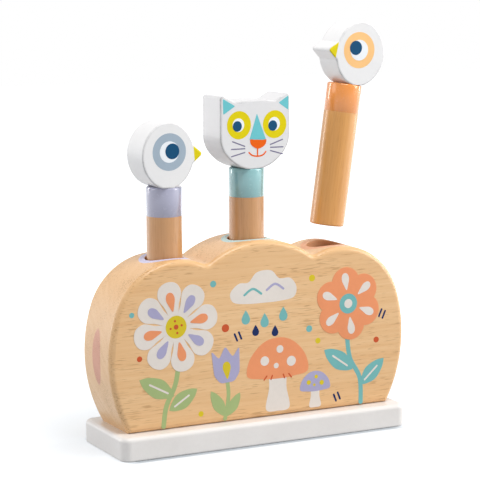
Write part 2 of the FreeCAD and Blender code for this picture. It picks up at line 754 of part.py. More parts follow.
base_plate()
block()
repeat_screw(block_screws())
for bore in BORES:
    spring_set(bore)
peg("left", bird_head("bird_head_left", ""), seated("left", "Sizes.left_turn"))
peg("centre", cat_head(), seated("centre", "Sizes.centre_turn"))
peg("right", bird_head("bird_head_right", "-"), popped("right", "Sizes.right_turn"))
write_parts()
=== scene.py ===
"""The looks of a pop up animal toy: a lobed wooden block that holds three sprung animal pegs.

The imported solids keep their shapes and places. This script dresses them in wood, paint and steel,
adds the printed films, the painted rings and bands and the wound springs, and sets the camera, the
lamps and the floor. Every class gives its sizes in millimetres, and the meshes are in metres.
"""

from __future__ import annotations

import logging
import math
from collections.abc import Callable, Iterable, Sequence
from dataclasses import dataclass
from enum import Enum

import bmesh
import bpy
from mathutils import Matrix, Vector
from mathutils.bvhtree import BVHTree


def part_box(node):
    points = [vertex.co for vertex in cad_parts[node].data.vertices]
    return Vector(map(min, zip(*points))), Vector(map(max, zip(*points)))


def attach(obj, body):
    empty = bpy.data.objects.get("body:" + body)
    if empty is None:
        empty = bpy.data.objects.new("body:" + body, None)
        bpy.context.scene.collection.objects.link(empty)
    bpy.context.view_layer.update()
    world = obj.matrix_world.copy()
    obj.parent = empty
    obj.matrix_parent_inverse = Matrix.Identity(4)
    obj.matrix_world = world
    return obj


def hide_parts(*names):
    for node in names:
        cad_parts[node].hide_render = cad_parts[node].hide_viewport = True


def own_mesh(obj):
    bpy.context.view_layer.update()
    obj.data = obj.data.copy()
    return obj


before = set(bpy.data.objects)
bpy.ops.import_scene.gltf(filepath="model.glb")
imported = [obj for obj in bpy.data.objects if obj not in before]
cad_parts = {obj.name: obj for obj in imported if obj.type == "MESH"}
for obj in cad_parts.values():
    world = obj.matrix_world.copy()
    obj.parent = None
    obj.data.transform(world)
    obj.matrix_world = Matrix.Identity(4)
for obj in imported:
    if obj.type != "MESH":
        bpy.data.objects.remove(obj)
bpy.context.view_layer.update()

LOG = logging.getLogger("toy")
MM = 0.001

Point = tuple[float, float]
Outline = list[Point]
Colour = tuple[float, float, float, float]
Tree = bpy.types.NodeTree
Node = bpy.types.Node
Socket = bpy.types.NodeSocket
Sockets = dict[str, Socket]
Material = bpy.types.Material
Piece = bpy.types.Object

WHITE: Colour = (1.0, 1.0, 1.0, 1.0)
AROUND = 96  # Points round a ring or a band.
SUNK = 0.05  # How deep a painted film's edge goes into the surface.
SIDES = ("left", "centre", "right")
PITCH = 58.2  # From one bore's axis to the next.
SWING_AXIS = (484.2, 0.0, 96.7)  # Where the popped peg's long arc turns.


class Ink(Enum):
    """The printed and painted colours, as they are written on screen."""

    CORAL = "#F09A6C"
    CREAM = "#E9E0D8"
    TEAL = "#78B9B8"
    LAVENDER = "#AFABCC"
    SAGE = "#A9BB80"
    YELLOW = "#DCC530"
    RUST = "#CE5A34"
    NAVY = "#1B2C5C"
    LENS = "#0F4C74"
    GLINT = "#F1F5FA"
    MIST = "#A5B5C4"
    PEACH = "#FDC886"
    LEMON = "#E2CF00"
    BEAK = "#DCCB00"
    AQUA = "#6EC6CE"
    ORANGE = "#EE6204"
    WHISKER = "#77728F"
    LILAC_BAND = "#ADADC5"
    TEAL_BAND = "#8CC0C3"
    ORANGE_BAND = "#F79634"
    LILAC_RING = "#CFCDE6"
    TEAL_RING = "#C3DCDA"
    SALMON_RING = "#E5AE8A"


# A film's name, its ink, its layer and its shapes.
Film = tuple[str, Ink, int, list[Outline]]


def colour(code: str) -> Colour:
    """Turns a colour as written on screen into the linear one that the shaders take.

    Args:
        code: A hash sign and six hexadecimal digits.

    Returns:
        Linear red, green and blue, and an alpha of 1.
    """
    parts = (int(code[place : place + 2], 16) / 255 for place in (1, 3, 5))
    linear = [part / 12.92 if part <= 0.04045 else ((part + 0.055) / 1.055) ** 2.4 for part in parts]
    return (*linear, 1.0)


class Graph:
    """A node tree, with short calls that add a node and join it to others."""

    def __init__(self, tree: Tree) -> None:
        """Takes a tree and clears it."""
        self.tree = tree
        tree.nodes.clear()

    def feed(self, socket: Socket, value: object) -> None:
        """Gives an input a plain value, or joins another node's output to it.

        Args:
            socket: The input.
            value: The value or the output.
        """
        if isinstance(value, Socket):
            self.tree.links.new(value, socket)
        else:
            socket.default_value = value

    def add(self, kind: str, feeds: dict[str | int, object], **settings: object) -> Node:
        """Adds a node.

        Args:
            kind: The node's type, without the word ShaderNode before it.
            feeds: What each input gets, by its name or number.
            settings: The node's own properties.

        Returns:
            The new node.
        """
        node = self.tree.nodes.new("ShaderNode" + kind)
        for name, value in settings.items():
            setattr(node, name, value)
        for name, value in feeds.items():
            self.feed(node.inputs[name], value)
        return node

    def sum(self, operation: str, *terms: object) -> Socket:
        """Works out one step of arithmetic on numbers or outputs."""
        return self.add("Math", dict(enumerate(terms)), operation=operation).outputs[0]

    def blend(self, share: object, first: object, second: object, how: str = "MIX") -> Socket:
        """Mixes two colours by a share that goes from 0, the first, to 1, the second."""
        feeds = {0: share, 6: first, 7: second}
        return self.add("Mix", feeds, data_type="RGBA", blend_type=how).outputs[2]

    def span(
        self, value: object, low: float, high: float, start: float = 0.0, end: float = 1.0
    ) -> Socket:
        """Maps a range of a value, kept inside its ends, onto another range."""
        feeds = {0: value, 1: low, 2: high, 3: start, 4: end}
        return self.add("MapRange", feeds, clamp=True).outputs[0]

    def noise(self, place: object, scale: float, detail: float = 2.0, rough: float = 0.5) -> Socket:
        """Reads smooth noise, from 0 to 1, at a place."""
        feeds = {"Vector": place, "Scale": scale, "Detail": detail, "Roughness": rough}
        return self.add("TexNoise", feeds).outputs[0]

    def stretch(self, place: object, scale: Sequence[float]) -> Socket:
        """Scales a place, so that what is read there is drawn out along some axes."""
        return self.add("VectorMath", {0: place, 1: scale}, operation="MULTIPLY").outputs[0]

    def place(self) -> Socket:
        """Reads the place on the piece, in the row frame."""
        return self.add("TexCoord", {}).outputs["Object"]

    def place_in(self, into: Matrix) -> Socket:
        """Reads the place in another frame, from the matrix that takes a place into it."""
        feeds = {"Vector": self.place(), "Location": into.to_translation(), "Rotation": into.to_euler()}
        return self.add("Mapping", feeds, vector_type="POINT").outputs[0]

    def parts(self, place: object) -> Sequence[Socket]:
        """Splits a place into its three numbers."""
        return self.add("SeparateXYZ", {0: place}).outputs

    def seen(self) -> Socket:
        """Finds what the camera sees, straight, through glass or mirrored.

        Returns:
            1 for such light, and 0 for the light that falls on the toy.
        """
        path = self.add("LightPath", {}).outputs
        straight = self.sum("MAXIMUM", path["Is Camera Ray"], path["Is Transmission Ray"])
        return self.sum("MAXIMUM", straight, path["Is Glossy Ray"])


# A material that still lacks its colour: itself, its nodes, its shader and the colour so far.
Draft = tuple[Material, Graph, Node, Socket]


class Kind(Enum):
    """What a group's socket carries."""

    VECTOR = "NodeSocketVector"
    COLOUR = "NodeSocketColor"
    NUMBER = "NodeSocketFloat"


@dataclass
class Effect:
    """A shader node group with named inputs and outputs, built once and placed in many materials."""

    name: str
    takes: dict[str, Kind]
    gives: dict[str, Kind]
    wire: Callable[[Graph, Sockets], Sockets]
    tree: Tree | None = None

    def build(self) -> None:
        """Makes the group's sockets and wires its nodes."""
        self.tree = bpy.data.node_groups.new(self.name, "ShaderNodeTree")
        for name, kind in self.takes.items():
            self.tree.interface.new_socket(name=name, in_out="INPUT", socket_type=kind.value)
        for name, kind in self.gives.items():
            self.tree.interface.new_socket(name=name, in_out="OUTPUT", socket_type=kind.value)
        graph = Graph(self.tree)
        entry = self.tree.nodes.new("NodeGroupInput")
        results = self.wire(graph, {name: entry.outputs[name] for name in self.takes})
        leave = self.tree.nodes.new("NodeGroupOutput")
        for name, socket in results.items():
            self.tree.links.new(socket, leave.inputs[name])

    def put(self, graph: Graph, **feeds: object) -> Sockets:
        """Places the group in a material.

        Args:
            graph: The material's nodes.
            feeds: What each of the group's inputs gets, by its name.

        Returns:
            The group's outputs by name.
        """
        if self.tree is None:
            self.build()
        node = graph.add("Group", {}, node_tree=self.tree)
        for name, value in feeds.items():
            graph.feed(node.inputs[name], value)
        return {name: node.outputs[name] for name in self.gives}


def wire_grain(graph: Graph, takes: Sockets) -> Sockets:
    """Draws growth bands, fibres and short dark pores that run along the first axis.

    Args:
        graph: The group's nodes.
        takes: The group's inputs.

    Returns:
        The group's outputs.
    """
    drift_waves, cloud_waves, crowd_waves = (9, 30, 30), (7, 16, 16), (14, 90, 90)
    fibre_waves, dash_waves, band_waves = (26, 980, 980), (105, 1500, 1500), 190.0
    heart_back, heart_down, wander = 0.11, 0.07, 0.016
    place = takes["Place"]
    drift = graph.noise(graph.stretch(place, drift_waves), 1.0)
    _, back, up = graph.parts(place)
    pith = graph.sum("POWER", graph.sum("ADD", back, -heart_back), 2.0)
    reach = graph.sum("ADD", pith, graph.sum("POWER", graph.sum("ADD", up, heart_down), 2.0))
    ring = graph.sum("ADD", graph.sum("SQRT", reach), graph.sum("MULTIPLY", drift, wander))
    bands = graph.noise(graph.add("CombineXYZ", {0: ring}).outputs[0], band_waves, 2.0, 0.6)
    fibre = graph.noise(graph.stretch(place, fibre_waves), 1.0, 3.0, 0.6)
    dashes = graph.noise(graph.stretch(place, dash_waves), 1.0, 1.0, 0.4)
    crowd = graph.noise(graph.stretch(place, crowd_waves), 1.0, 1.0)
    level = graph.sum("ADD", dashes, graph.sum("MULTIPLY", crowd, 0.42))
    pores = graph.span(level, 0.82, 0.92)
    cloud = graph.noise(graph.stretch(place, cloud_waves), 1.0)
    mixed = graph.sum("ADD", graph.sum("MULTIPLY", bands, 0.75), graph.sum("MULTIPLY", fibre, 0.55))
    depth = graph.span(graph.sum("ADD", mixed, graph.sum("MULTIPLY", cloud, 0.4)), 0.58, 1.12)
    body = graph.blend(depth, takes["Pale"], takes["Deep"])
    dark = graph.sum("MULTIPLY", pores, takes["Pores"])
    height = graph.sum("SUBTRACT", graph.sum("MULTIPLY", fibre, 0.35), pores)
    return {"Color": graph.blend(dark, body, takes["Pore"]), "Height": height}


def wire_skin(graph: Graph, takes: Sockets) -> Sockets:
    """Gives paint or ink its soft clouds of thin and thick, and its fine orange peel.

    Args:
        graph: The group's nodes.
        takes: The group's inputs.

    Returns:
        The group's outputs.
    """
    cloud_waves, fleck_waves, peel_waves = 28.0, 420.0, 900.0
    place = takes["Place"]
    cloud = graph.noise(place, cloud_waves, 3.0)
    fleck = graph.noise(place, fleck_waves)
    thin = graph.span(graph.sum("ADD", cloud, graph.sum("MULTIPLY", fleck, 0.35)), 0.45, 0.95)
    tint = graph.blend(graph.sum("MULTIPLY", thin, takes["Uneven"]), takes["Color"], takes["Shade"])
    rough = graph.sum("MULTIPLY", graph.span(fleck, 0.3, 0.7, -0.11, 0.13), takes["Uneven"])
    peel = graph.sum("ADD", graph.noise(place, peel_waves), graph.sum("MULTIPLY", cloud, 0.6))
    return {"Color": tint, "Roughness": graph.sum("ADD", takes["Roughness"], rough), "Height": peel}


def wire_edge(graph: Graph, takes: Sockets) -> Sockets:
    """Finds rounded edges, in patches, where painted highlight goes on wood and painted shade on painted
    rims.

    Args:
        graph: The group's nodes.
        takes: The group's inputs.

    Returns:
        The group's outputs.
    """
    edge_width, patch_waves = 0.0016, 120.0
    smooth = graph.add("Bevel", {"Radius": edge_width}, samples=4).outputs[0]
    plain = graph.add("NewGeometry", {}).outputs["True Normal"]
    turn = graph.add("VectorMath", {0: smooth, 1: plain}, operation="DOT_PRODUCT").outputs["Value"]
    patches = graph.noise(takes["Place"], patch_waves)
    mask = graph.span(turn, 1.0, 0.88)
    return {"Mask": graph.sum("MULTIPLY", mask, graph.span(patches, 0.3, 0.6))}


GRAIN = Effect(
    "wood_grain",
    {
        "Place": Kind.VECTOR,
        "Pale": Kind.COLOUR,
        "Deep": Kind.COLOUR,
        "Pore": Kind.COLOUR,
        "Pores": Kind.NUMBER,
    },
    {"Color": Kind.COLOUR, "Height": Kind.NUMBER},
    wire_grain,
)
SKIN = Effect(
    "paint_skin",
    {
        "Place": Kind.VECTOR,
        "Color": Kind.COLOUR,
        "Shade": Kind.COLOUR,
        "Uneven": Kind.NUMBER,
        "Roughness": Kind.NUMBER,
    },
    {"Color": Kind.COLOUR, "Roughness": Kind.NUMBER, "Height": Kind.NUMBER},
    wire_skin,
)
EDGE = Effect("rounded_edge_light_and_shade", {"Place": Kind.VECTOR}, {"Mask": Kind.NUMBER}, wire_edge)


def new_material(name: str) -> tuple[Material, Graph, Node]:
    """Starts a material.

    Args:
        name: The material's name.

    Returns:
        The material, its nodes and its Principled shader.
    """
    material = bpy.data.materials.new(name)
    material.use_nodes = True
    graph = Graph(material.node_tree)
    shader = graph.add("BsdfPrincipled", {})
    graph.add("OutputMaterial", {"Surface": shader.outputs[0]})
    return material, graph, shader


def bump(graph: Graph, shader: Node, height: Socket, depth: float) -> None:
    """Gives a shader a relief, from a height and its depth in millimetres."""
    node = graph.add("Bump", {"Strength": 1.0, "Distance": depth * MM, "Height": height})
    graph.feed(shader.inputs["Normal"], node.outputs[0])


@dataclass(frozen=True)
class Wood:
    """Lacquered wood with its grain along one direction."""

    name: str
    pale: str
    deep: str
    pore: str
    pores: float
    roughness: float
    coat: float
    shine: float = 0.25
    relief: float = 0.05
    coat_roughness: float = 0.26
    # How far the painted highlight lightens the rounded edges towards the pale wood.
    edge_highlight: float = 0.35

    def begin(self, along: Matrix) -> Draft:
        """Builds the material but for its colour.

        Args:
            along: Takes a place in the row frame to one whose first axis runs with the grain.

        Returns:
            The material, its nodes, its Principled shader and the colour that the shader's
            Base Color still has to get.
        """
        material, graph, shader = new_material(self.name)
        place = graph.place_in(along)
        inks = {"Pale": colour(self.pale), "Deep": colour(self.deep), "Pore": colour(self.pore)}
        grain = GRAIN.put(graph, Place=place, Pores=self.pores, **inks)
        # Painted highlight: the rounded edges are lightened towards the pale wood, in patches.
        highlight_mask = EDGE.put(graph, Place=place)["Mask"]
        lighter = graph.blend(graph.sum("MULTIPLY", highlight_mask, self.edge_highlight), grain["Color"], colour(self.pale))
        rough = graph.sum("ADD", graph.span(grain["Height"], -1.0, 0.4, 0.16, 0.0), self.roughness)
        graph.feed(shader.inputs["Roughness"], rough)
        shader.inputs["Specular IOR Level"].default_value = self.shine
        shader.inputs["Coat Weight"].default_value = self.coat
        shader.inputs["Coat Roughness"].default_value = self.coat_roughness
        bump(graph, shader, grain["Height"], self.relief)
        return material, graph, shader, lighter

    def material(self, along: Matrix) -> Material:
        """Builds the material.

        Args:
            along: Takes a place in the row frame to one whose first axis runs with the grain.

        Returns:
            The material.
        """
        material, graph, shader, tint = self.begin(along)
        graph.feed(shader.inputs["Base Color"], tint)
        return material


@dataclass(frozen=True)
class Paint:
    """Paint or ink over wood, with a little of the grain showing through as relief."""

    name: str
    tint: str
    shade: str
    roughness: float = 0.42
    coat: float = 0.0
    uneven: float = 0.5
    relief: float = 0.02
    shine: float = 0.5
    # How strong the painted shade along the rounded rims is; 0 leaves it out.
    edge: float = 0.0
    coat_roughness: float = 0.12
    rim_shade_depth: float = 0.66

    def begin(self) -> Draft:
        """Builds the material but for its colour.

        Returns:
            The material, its nodes, its Principled shader and the colour that the shader's
            Base Color still has to get.
        """
        material, graph, shader = new_material(self.name)
        place = graph.place()
        paints = {"Color": colour(self.tint), "Shade": colour(self.shade)}
        skin = SKIN.put(graph, Place=place, Uneven=self.uneven, Roughness=self.roughness, **paints)
        tint = skin["Color"]
        # Painted shade: a thin darker line along the rounded rims, in a deeper copy of the shade colour.
        if self.edge > 0:
            thin = graph.sum("MULTIPLY", EDGE.put(graph, Place=place)["Mask"], self.edge)
            tint = graph.blend(thin, tint, colour(darker(self.shade, self.rim_shade_depth)))
        graph.feed(shader.inputs["Roughness"], skin["Roughness"])
        shader.inputs["Specular IOR Level"].default_value = self.shine
        shader.inputs["Coat Weight"].default_value = self.coat
        shader.inputs["Coat Roughness"].default_value = self.coat_roughness
        bump(graph, shader, skin["Height"], self.relief)
        return material, graph, shader, tint

    def material(self) -> Material:
        """Builds the material.

        Returns:
            The material.
        """
        material, graph, shader, tint = self.begin()
        graph.feed(shader.inputs["Base Color"], tint)
        return material


@dataclass(frozen=True)
class Steel:
    """Drawn or turned steel with fine streaks along its length."""

    name: str
    tint: str
    shade: str
    roughness: float
    streaks: tuple[float, float, float]
    dulling: float = 0.16
    dull_waves: float = 240.0
    relief: float = 0.012

    def material(self) -> Material:
        """Builds the material.

        Returns:
            The material.
        """
        material, graph, shader = new_material(self.name)
        place = graph.place()
        drawn = graph.noise(graph.stretch(place, self.streaks), 1.0, 3.0)
        dull = graph.noise(place, self.dull_waves)
        tone = graph.span(graph.sum("ADD", drawn, graph.sum("MULTIPLY", dull, 0.5)), 0.5, 1.0)
        graph.feed(shader.inputs["Base Color"], graph.blend(tone, colour(self.tint), colour(self.shade)))
        rough = graph.span(tone, 0.0, 1.0, self.roughness, self.roughness + self.dulling)
        graph.feed(shader.inputs["Roughness"], rough)
        shader.inputs["Metallic"].default_value = 1.0
        bump(graph, shader, drawn, self.relief)
        return material


def darker(code: str, share: float) -> str:
    """Works out a deeper shade of a colour as written on screen.

    Args:
        code: The colour.
        share: How much of it is left, from 0 to 1.

    Returns:
        The deeper colour's code.
    """
    parts = (int(code[place : place + 2], 16) * share for place in (1, 3, 5))
    return "#" + "".join(f"{round(part):02X}" for part in parts)


class Palette:
    """The inks' materials, each made once."""

    def __init__(self) -> None:
        """Starts with no material."""
        self.made: dict[Ink, Material] = {}

    def ink(self, ink: Ink, gloss: bool = False) -> Material:
        """Gives an ink's material.

        Args:
            ink: The ink.
            gloss: Whether it is sprayed paint, which is glossier, and not a print.

        Returns:
            The material.
        """
        if ink not in self.made:
            shades = "ink_" + ink.name.lower(), ink.value, darker(ink.value, 0.9)
            if gloss:
                paint = Paint(*shades, roughness=0.26, coat=1.0, uneven=0.15, relief=0.004)
            else:
                paint = Paint(*shades, roughness=0.46, uneven=0.45, shine=0.12)
            self.made[ink] = paint.material()
        return self.made[ink]


def full_turn(count: int) -> list[float]:
    """Lists equal turns that go once round, in radians."""
    return [2 * math.pi * step / count for step in range(count)]


def about_axis(radius: float, turn: float, height: float) -> Vector:
    """Finds the point at a radius, a turn and a height about the third axis."""
    return Vector((radius * math.cos(turn), radius * math.sin(turn), height))


def disc(radius: float, across: float, up: float) -> Outline:
    """Draws a circle."""
    return [(across + radius * math.cos(turn), up + radius * math.sin(turn)) for turn in full_turn(64)]


def curve(knots: Sequence[Point], closed: bool = True, steps: int = 8) -> Outline:
    """Runs a smooth line through knots.

    Args:
        knots: The points that it passes through.
        closed: Whether it comes back to its first knot.
        steps: How many points it gets from one knot to the next.

    Returns:
        The line's points.
    """
    count = len(knots)
    line: Outline = []
    for place in range(count if closed else count - 1):
        picks = [place - 1, place, place + 1, place + 2]
        if closed:
            near = [Vector(knots[pick % count]) for pick in picks]
        else:
            near = [Vector(knots[min(max(pick, 0), count - 1)]) for pick in picks]
        for step in range(steps):
            share = step / steps
            pull = (near[2] - near[0]) * share
            bend = (2 * near[0] - 5 * near[1] + 4 * near[2] - near[3]) * share**2
            twist = (3 * near[1] - near[0] - 3 * near[2] + near[3]) * share**3
            spot = 0.5 * (2 * near[1] + pull + bend + twist)
            line.append((spot.x, spot.y))
    if not closed:
        line.append(tuple(knots[-1]))
    return line


def stroke(knots: Sequence[Point], width: float) -> Outline:
    """Draws a ribbon with round ends along a smooth line.

    Args:
        knots: The points that the line passes through.
        width: The ribbon's width.

    Returns:
        The ribbon's outline.
    """
    line = [Vector(spot) for spot in curve(knots, closed=False)]
    half = width / 2
    left: Outline = []
    right: Outline = []
    for place, spot in enumerate(line):
        ahead = line[min(place + 1, len(line) - 1)] - line[max(place - 1, 0)]
        side = Vector((-ahead.y, ahead.x)).normalized()
        left.append(tuple(spot + side * half))
        right.append(tuple(spot - side * half))
    caps: list[Outline] = []
    for spot, away in ((line[-1], line[-1] - line[-2]), (line[0], line[0] - line[1])):
        heading = math.atan2(away.y, away.x)
        turns = (heading + math.pi * (0.5 - step / 8) for step in range(1, 8))
        caps.append([(spot.x + half * math.cos(turn), spot.y + half * math.sin(turn)) for turn in turns])
    return left + caps[0] + right[::-1] + caps[1]


def rounded(corners: Sequence[Point], radius: float) -> Outline:
    """Draws a shape with straight sides and rounded corners.

    Args:
        corners: Its corners, in order.
        radius: How far from each corner, along its sides, the rounding starts.

    Returns:
        The shape's outline.
    """
    spots = [Vector(corner) for corner in corners]
    line: Outline = []
    for place, spot in enumerate(spots):
        before = spot + (spots[place - 1] - spot).normalized() * radius
        after = spot + (spots[(place + 1) % len(spots)] - spot).normalized() * radius
        for step in range(7):
            share = step / 6
            bent = before * (1 - share) ** 2 + spot * 2 * share * (1 - share) + after * share**2
            line.append(tuple(bent))
    return line


def petal(length: float, width: float, root: float = 0.16) -> Outline:
    """Draws a petal that points up from its narrow root to a round tip.

    Args:
        length: Its length.
        width: Its width at its widest.
        root: Its root's share of that width.

    Returns:
        Its outline, with its root at the origin.
    """
    half = width / 2
    low = [(half * root, 0.0), (half * 0.62, length * 0.3)]
    right = [*low, (half, length * 0.62), (half * 0.74, length * 0.9)]
    left = [(-across, up) for across, up in reversed(right)]
    return curve([*right, (0.0, length), *left], steps=6)


def leaf(length: float, width: float) -> Outline:
    """Draws a pointed leaf that stands upright.

    Args:
        length: Its length.
        width: Its width at its widest.

    Returns:
        Its outline, with its root at the origin.
    """
    half = width / 2
    side = [(half * 0.55, length * 0.16), (half, length * 0.45), (half * 0.62, length * 0.8)]
    left = [(-across, up) for across, up in reversed(side)]
    right = curve([(0.0, 0.0), *side, (0.0, length)], closed=False)
    return right + curve([(0.0, length), *left, (0.0, 0.0)], closed=False)[1:-1]


def scallops(count: int, out: float, radius: float) -> Outline:
    """Draws the outer edge of a ring of overlapping round petals.

    Args:
        count: How many petals there are, the first one pointing up.
        out: How far each petal's middle is from the flower's.
        radius: Each petal's radius.

    Returns:
        The edge's points.
    """
    line: Outline = []
    for step in range(count * 20):
        turn = 2 * math.pi * step / (count * 20)
        off = (turn + math.pi / count) % (2 * math.pi / count) - math.pi / count
        reach = out * math.cos(off) + math.sqrt(radius**2 - (out * math.sin(off)) ** 2)
        line.append((-reach * math.sin(turn), reach * math.cos(turn)))
    return line


def moved(shape: Outline, across: float, up: float, turn: float = 0.0, size: float = 1.0) -> Outline:
    """Turns a shape about the origin, scales it and moves it.

    Args:
        shape: The shape's outline.
        across: How far it moves to the right.
        up: How far it moves up.
        turn: How far it turns anticlockwise, in degrees.
        size: How much larger it gets.

    Returns:
        The new outline.
    """
    cosine = math.cos(math.radians(turn)) * size
    sine = math.sin(math.radians(turn)) * size
    return [(across + cosine * x - sine * y, up + sine * x + cosine * y) for x, y in shape]


def veined(leaves: Sequence[Sequence[float]]) -> tuple[list[Outline], list[Outline]]:
    """Draws leaves, each with a vein.

    Args:
        leaves: For each leaf its length and width, how far along it the vein starts and ends,
            its root's place across and up, and its turn in degrees.

    Returns:
        The leaves and the veins.
    """
    blades = [moved(leaf(length, width), *root) for length, width, _, _, *root in leaves]
    veins = [moved(stroke([(0.0, low), (0.0, high)], 1.2), *root) for _, _, low, high, *root in leaves]
    return blades, veins


def show(name: str, data: bpy.types.ID) -> Piece:
    """Puts a mesh, a lamp or a camera in the scene.

    Args:
        name: The name that it is shown under.
        data: What is shown.

    Returns:
        The object that shows it.
    """
    thing = bpy.data.objects.new(name, data)
    bpy.context.scene.collection.objects.link(thing)
    return thing


def new_piece(
    name: str,
    points: Iterable[Vector],
    faces: Iterable[Sequence[int]],
    material: Material,
    body: str,
    smooth: bool = False,
) -> Piece:
    """Makes a piece of the toy.

    Args:
        name: The piece's name.
        points: Its points in the row frame, in metres.
        faces: The numbers of the points round each face.
        material: What it is made of.
        body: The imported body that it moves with.
        smooth: Whether its faces are shaded as one curved surface.

    Returns:
        The piece.
    """
    mesh = bpy.data.meshes.new(name)
    build = bmesh.new()
    spots = [build.verts.new(point) for point in points]
    for face in faces:
        build.faces.new([spots[place] for place in face])
    bmesh.ops.recalc_face_normals(build, faces=build.faces)
    bmesh.ops.triangulate(build, faces=[face for face in build.faces if len(face.verts) > 4])
    for face in build.faces:
        face.smooth = smooth
    build.to_mesh(mesh)
    build.free()
    mesh.materials.append(material)
    piece = show(name, mesh)
    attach(piece, body)
    LOG.info("piece %s made, on body %s", name, body)
    return piece


def turned_faces(rows: int, around: int) -> list[tuple[int, int, int, int]]:
    """Lists the faces between rows of points that each go round once.

    Args:
        rows: How many rows there are.
        around: How many points there are in a row.

    Returns:
        Each face's four points.
    """
    faces = []
    for row in range(rows - 1):
        low, high = row * around, (row + 1) * around
        for place in range(around):
            after = (place + 1) % around
            faces.append((low + place, low + after, high + after, high + place))
    return faces


@dataclass(frozen=True)
class Panel:
    """A flat face that carries films, in layers from the surface outwards."""

    where: Matrix
    body: str
    film: float = 0.05
    root: float = 0.02

    def lay(self, name: str, shapes: Sequence[Outline], layer: int, material: Material) -> Piece:
        """Lays one film, cut to one or more shapes.

        Args:
            name: The film's name.
            shapes: Its outlines, across and up the panel.
            layer: 1 on the surface, 2 on a first film, and so on.
            material: Its ink.

        Returns:
            The film.
        """
        points: list[Vector] = []
        faces: list[list[int]] = []
        for shape in shapes:
            first, count = len(points), len(shape)
            for lift in (-self.root, self.film * layer):
                points += [self.where @ (Vector((x, -lift, y)) * MM) for x, y in shape]
            faces.append(list(range(first + count, first + 2 * count)))
            for place in range(count):
                after = (place + 1) % count
                low, high = first, first + count
                faces.append([low + place, low + after, high + after, high + place])
        return new_piece(name, points, faces, material, self.body)


@dataclass
class BasePlate:
    """The white painted plate under the block, and the countersunk screws in it."""

    white: Paint = Paint("base_white", "#EAE6E3", "#DDD8D5", roughness=0.36, coat=0.15, relief=0.03)
    screws: Steel = Steel("screw_zinc", "#C9C7C0", "#9C9A94", roughness=0.28, streaks=(500.0, 500.0, 90.0))

    def dress(self) -> None:
        """Paints the plate and gives the screws their steel."""
        cover(self.white.material(), "base_plate")
        steel = self.screws.material()
        cover(steel, "block_screws", *(f"seat_screw_{side}" for side in SIDES))
        LOG.info("base plate and screws dressed")


def cover(material: Material, *nodes: str) -> None:
    """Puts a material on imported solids, in place of what they came with.

    Args:
        material: The material.
        nodes: The solids' names.
    """
    for node in nodes:
        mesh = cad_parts[node].data
        mesh.materials.clear()
        mesh.materials.append(material)


@dataclass
class Block:
    """The lobed block, with painted shade on its bores' walls and a painted ring round each bore's mouth.
    """

    wood: Wood = Wood(
        "block_rubberwood", "#ECC493", "#DDAC76", "#AD7F4C", pores=0.5, roughness=0.36, coat=0.6, shine=0.1
    )
    # The colour of the painted shade on the bores' walls, multiplied into the wood.
    bore_shade: str = "#E9C6D6"
    wall_blur: float = 0.4
    ring_inside: float = 12.6
    ring_outside: float = 16.7
    ring_film: float = 0.07
    rings: tuple[Ink, ...] = (Ink.LILAC_RING, Ink.TEAL_RING, Ink.SALMON_RING)

    def dress(self, palette: Palette) -> None:
        """Gives the block its wood and paints the rings.

        Args:
            palette: The inks' materials.
        """
        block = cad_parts["block"]
        cover(self.bored_wood(), "block")
        surface = BVHTree.FromObject(block, bpy.context.evaluated_depsgraph_get())
        for place, (side, ink) in enumerate(zip(SIDES, self.rings)):
            self.ring(side, (place - 1) * PITCH, surface, palette.ink(ink))
        LOG.info("block dressed, with %d painted rings", len(self.rings))

    def bored_wood(self) -> Material:
        """Builds the block's wood, with painted shade on the walls of the bores, which makes them darker
        and redder.

        Returns:
            The material.
        """
        material, graph, shader, tint = self.wood.begin(Matrix.Identity(4))
        across, back, _ = graph.parts(graph.place())
        aside = graph.sum("PINGPONG", across, PITCH / 2 * MM)
        flat = graph.add("CombineXYZ", {0: aside, 1: back}).outputs[0]
        reach = graph.add("VectorMath", {0: flat}, operation="LENGTH").outputs["Value"]
        wall = graph.span(reach, self.ring_inside * MM, (self.ring_inside - self.wall_blur) * MM)
        # Painted shade in the bores: the walls are multiplied by a pink grey.
        bore_shaded = graph.blend(wall, tint, colour(self.bore_shade), "MULTIPLY")
        graph.feed(shader.inputs["Base Color"], bore_shaded)
        return material

    def ring(self, side: str, across: float, surface: BVHTree, material: Material) -> None:
        """Lays a ring of paint on the block's top, down over the rounded mouth.

        Args:
            side: Which bore it goes round.
            across: The bore's place along the block.
            surface: The block's surface.
            material: The ring's paint.
        """
        rows, crowding, above = 12, 1.6, 200.0
        tops: list[Vector] = []
        for row in range(rows):
            share = (row / (rows - 1)) ** crowding
            radius = self.ring_inside + (self.ring_outside - self.ring_inside) * share
            lift = -SUNK if row in (0, rows - 1) else self.ring_film
            for turn in full_turn(AROUND):
                start = Vector((across + radius * math.cos(turn), radius * math.sin(turn), above)) * MM
                spot, normal, _, _ = surface.ray_cast(start, Vector((0, 0, -1)))
                tops.append(spot + normal * lift * MM)
        faces = turned_faces(rows, AROUND)
        new_piece(f"mouth_ring_{side}", tops, faces, material, "root", smooth=True)


